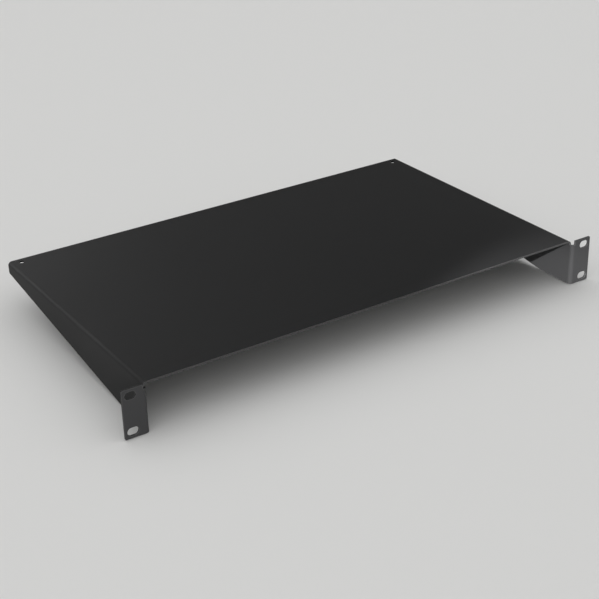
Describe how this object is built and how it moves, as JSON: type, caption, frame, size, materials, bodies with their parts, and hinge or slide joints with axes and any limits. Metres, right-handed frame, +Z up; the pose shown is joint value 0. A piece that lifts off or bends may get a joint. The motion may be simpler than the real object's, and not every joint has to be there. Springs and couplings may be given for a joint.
{
  "type": "cantilever rack shelf",
  "caption": "Rack shelf of one folded black steel sheet: a flat tray on tapering side flanges, with slotted ears that bolt to the front of a 19-inch rack.",
  "frame": {"origin": "centre of the pattern of slots, on the plane of the ears' rear faces, which seat on the rack's rails", "axes": "+X to the right as seen from the front of the rack, +Y into the rack, +Z up"},
  "size_m": [0.4826, 0.27, 0.0434],
  "materials": {
    "powder_coat": "satin black powder coat with a fine texture"
  },
  "bodies": {
    "root": {"shelf": "powder_coat"}
  },
  "joints": []
}
